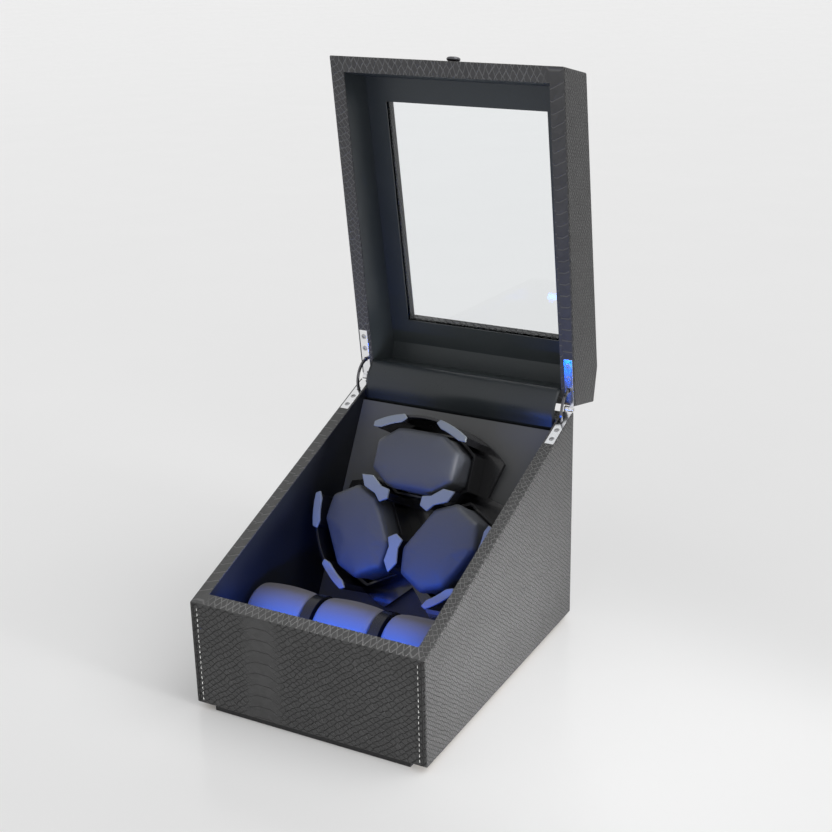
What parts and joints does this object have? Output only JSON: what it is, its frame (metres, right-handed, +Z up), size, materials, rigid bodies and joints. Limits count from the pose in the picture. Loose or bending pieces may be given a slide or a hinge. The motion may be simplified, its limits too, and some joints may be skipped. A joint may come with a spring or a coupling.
{
  "type": "watch winder box",
  "caption": "Wedge-shaped watch winder case with a hinged windowed lid, a geared cushion turntable on a tilted panel and a storage cushion row.",
  "frame": {"origin": "centre of the box's footprint, on the surface it stands on", "axes": "+Z up, front face towards -Y, +X to the right seen from the front; stored with the lid open"},
  "size_m": [0.2, 0.31, 0.4666],
  "materials": {
    "embossed_leather": "python-embossed charcoal artificial leather",
    "smooth_lining": "smooth black lining leather",
    "panel_fabric": "dark satin-covered board",
    "board": "medium-density fibreboard",
    "plinth_black": "black painted board",
    "chrome_hinge": "polished chrome",
    "knob_chrome": "polished dark chrome",
    "window": "clear pane",
    "rotor_black": "gloss black moulding",
    "grip_grey": "pale blue-grey moulding",
    "cushion_leather": "dark satin cushion leather",
    "tray_black": "black tray",
    "gear_white": "natural acetal",
    "steel": "turned steel",
    "bronze": "sintered bronze",
    "motor_steel": "plated can",
    "circuit": "circuit board",
    "led": "blue light-emitting diodes",
    "control_black": "black moulding",
    "lead_black": "black insulated lead"
  },
  "bodies": {
    "base": {"plinth_board": "plinth_black", "base_floor_board": "board", "base_front_board": "board", "base_back_board": "board", "base_side_boards": "board", "base_leather_cover": "embossed_leather", "base_lining": "smooth_lining", "winder_panel": "panel_fabric", "panel_cleats": "board", "spindle_bush": "bronze", "motor_bracket": "steel", "bracket_posts": "steel", "gearbox_housing": "motor_steel", "motor_can": "motor_steel", "storage_tray_floor": "tray_black", "storage_rails": "tray_black", "storage_dividers": "smooth_lining", "led_strip_board": "circuit", "led_emitters": "led", "control_plate": "control_black", "control_board": "circuit", "rotary_switch": "control_black", "light_switch": "control_black", "dc_jack": "control_black", "led_lead": "lead_black", "hinge_base_leaves": "chrome_hinge", "hinge_pins": "steel", "hinge_base_screws": "chrome_hinge", "hinge_flap": "smooth_lining"},
    "lid": {"lid_side_boards": "board", "lid_front_board": "board", "lid_back_board": "board", "lid_flat_board": "board", "window_cross_rails": "board", "window_side_rails": "board", "window_glass": "window", "lid_leather_cover": "embossed_leather", "lid_lining": "smooth_lining", "lid_knob": "knob_chrome", "hinge_lid_leaves": "chrome_hinge", "hinge_lid_screws": "chrome_hinge"},
    "stays": {"stay_arms": "chrome_hinge"},
    "turntable": {"turntable_plate": "rotor_black", "turntable_spindle": "steel", "turntable_gear": "gear_white", "spindle_clip": "steel", "rotor_cup_1": "rotor_black", "rotor_cup_2": "rotor_black", "rotor_cup_3": "rotor_black", "grip_pads": "grip_grey"},
    "pinion": {"drive_pinion": "gear_white", "motor_shaft": "steel"},
    "mode_knob": {"mode_knob": "control_black"},
    "light_button": {"light_button": "control_black"},
    "winder_cushion_1": {"winder_cushion_1": "cushion_leather"},
    "storage_cushion_1": {"storage_cushion_1": "cushion_leather"},
    "winder_cushion_2": {"winder_cushion_2": "cushion_leather"},
    "storage_cushion_2": {"storage_cushion_2": "cushion_leather"},
    "winder_cushion_3": {"winder_cushion_3": "cushion_leather"},
    "storage_cushion_3": {"storage_cushion_3": "cushion_leather"}
  },
  "joints": [
    {"name": "lid_hinge", "type": "hinge", "parent": "base", "child": "lid", "pos_m": [0, 0.133, 0.18704], "axis": [-1, 0, 0], "range_deg": [-103, 0], "deforming": ["hinge_flap"]},
    {"name": "stay_swing", "type": "hinge", "parent": "base", "child": "stays", "pos_m": [0, 0.133, 0.18704], "axis": [-1, 0, 0], "range_deg": [-51.5, 0]},
    {"name": "turntable_spin", "type": "hinge", "parent": "base", "child": "turntable", "pos_m": [0, 0.07, 0.0935], "axis": [0, -0.866, 0.5], "continuous": true},
    {"name": "pinion_spin", "type": "hinge", "parent": "base", "child": "pinion", "pos_m": [-0.0297, 0.05515, 0.06778], "axis": [0, -0.866, 0.5], "continuous": true},
    {"name": "mode_turn", "type": "hinge", "parent": "base", "child": "mode_knob", "pos_m": [0, 0.135, 0.11], "axis": [0, 1, 0], "range_deg": [-135, 135]},
    {"name": "light_press", "type": "slide", "parent": "base", "child": "light_button", "axis": [0, -1, 0], "range_m": [0, 0.0015], "stiffness_N_per_m": 400},
    {"name": "winder_cushion_1_pull", "type": "slide", "parent": "turntable", "child": "winder_cushion_1", "axis": [0, -0.866, 0.5], "range_m": [0, 0.06]},
    {"name": "winder_cushion_2_pull", "type": "slide", "parent": "turntable", "child": "winder_cushion_2", "axis": [0, -0.866, 0.5], "range_m": [0, 0.06]},
    {"name": "winder_cushion_3_pull", "type": "slide", "parent": "turntable", "child": "winder_cushion_3", "axis": [0, -0.866, 0.5], "range_m": [0, 0.06]},
    {"name": "storage_cushion_1_lift", "type": "slide", "parent": "base", "child": "storage_cushion_1", "axis": [0, 0, 1], "range_m": [0, 0.13]},
    {"name": "storage_cushion_2_lift", "type": "slide", "parent": "base", "child": "storage_cushion_2", "axis": [0, 0, 1], "range_m": [0, 0.13]},
    {"name": "storage_cushion_3_lift", "type": "slide", "parent": "base", "child": "storage_cushion_3", "axis": [0, 0, 1], "range_m": [0, 0.13]}
  ],
  "couplings": [
    {"joint": "stay_swing", "follows": "lid_hinge", "ratio": 0.5},
    {"joint": "pinion_spin", "follows": "turntable_spin", "ratio": -2.5}
  ]
}
